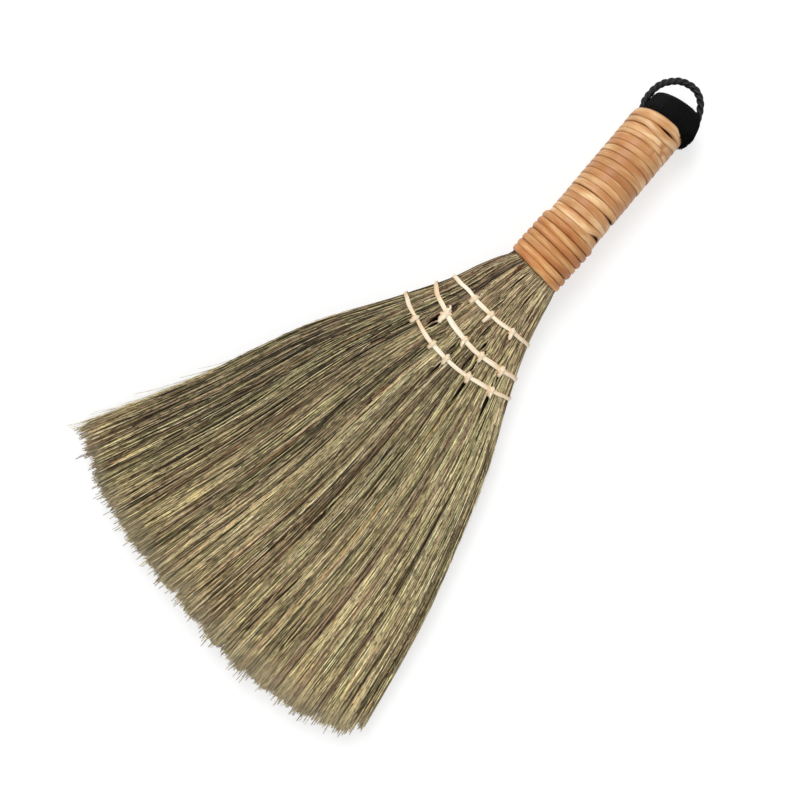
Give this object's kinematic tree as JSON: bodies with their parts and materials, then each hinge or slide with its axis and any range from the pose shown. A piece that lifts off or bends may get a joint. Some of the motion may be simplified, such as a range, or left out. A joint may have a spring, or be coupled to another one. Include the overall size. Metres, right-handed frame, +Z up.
{
  "type": "straw hand broom",
  "caption": "Hand broom: a fan of straw locks lashed by cane bands, on a round rattan-wound handle with a fibre end cap and a rope hanging loop.",
  "frame": {"origin": "middle of the underside of the broom's box, without its hanging loop, as it lies on its back", "axes": "+Y up the handle's axis towards the hanging loop, +X across the fan, +Z up from the surface it lies on"},
  "size_m": [0.2052, 0.3694, 0.0313],
  "materials": {
    "straw": "dry straw, matt",
    "stalks": "dry stalks, matt",
    "rattan": "flat rattan peel, satin",
    "collar_cane": "rounded cane, satin",
    "cream_cane": "split cane, satin",
    "twine": "twisted twine, matt",
    "black_fibre": "stiff black fibre",
    "black_rope": "twisted black rope"
  },
  "bodies": {
    "broom": {"stalk_core": "stalks", "lower_tie": "twine", "upper_tie": "twine", "collar_winding": "collar_cane", "grip_winding": "rattan", "straw_bundle_1": "straw", "straw_bundle_2": "straw", "straw_bundle_3": "straw", "straw_bundle_4": "straw", "straw_bundle_5": "straw", "straw_bundle_6": "straw", "band_upper": "cream_cane", "band_middle": "cream_cane", "band_lower": "cream_cane", "stitch_upper_1": "cream_cane", "stitch_upper_2": "cream_cane", "stitch_upper_3": "cream_cane", "stitch_middle_1": "cream_cane", "stitch_middle_2": "cream_cane", "stitch_middle_3": "cream_cane", "stitch_middle_4": "cream_cane", "stitch_lower_1": "cream_cane", "stitch_lower_2": "cream_cane", "stitch_lower_3": "cream_cane", "stitch_lower_4": "cream_cane", "stitch_lower_5": "cream_cane", "fibre_cap": "black_fibre", "loop_tail_left": "black_rope", "loop_tail_right": "black_rope"},
    "loop": {"hang_loop": "black_rope"}
  },
  "joints": [
    {"name": "loop_swing", "type": "hinge", "parent": "broom", "child": "loop", "pos_m": [0.01968, 0.17903, 0.01525], "axis": [1, 0, 0], "range_deg": [-45, 45], "stiffness_Nm_per_rad": 0.002}
  ]
}
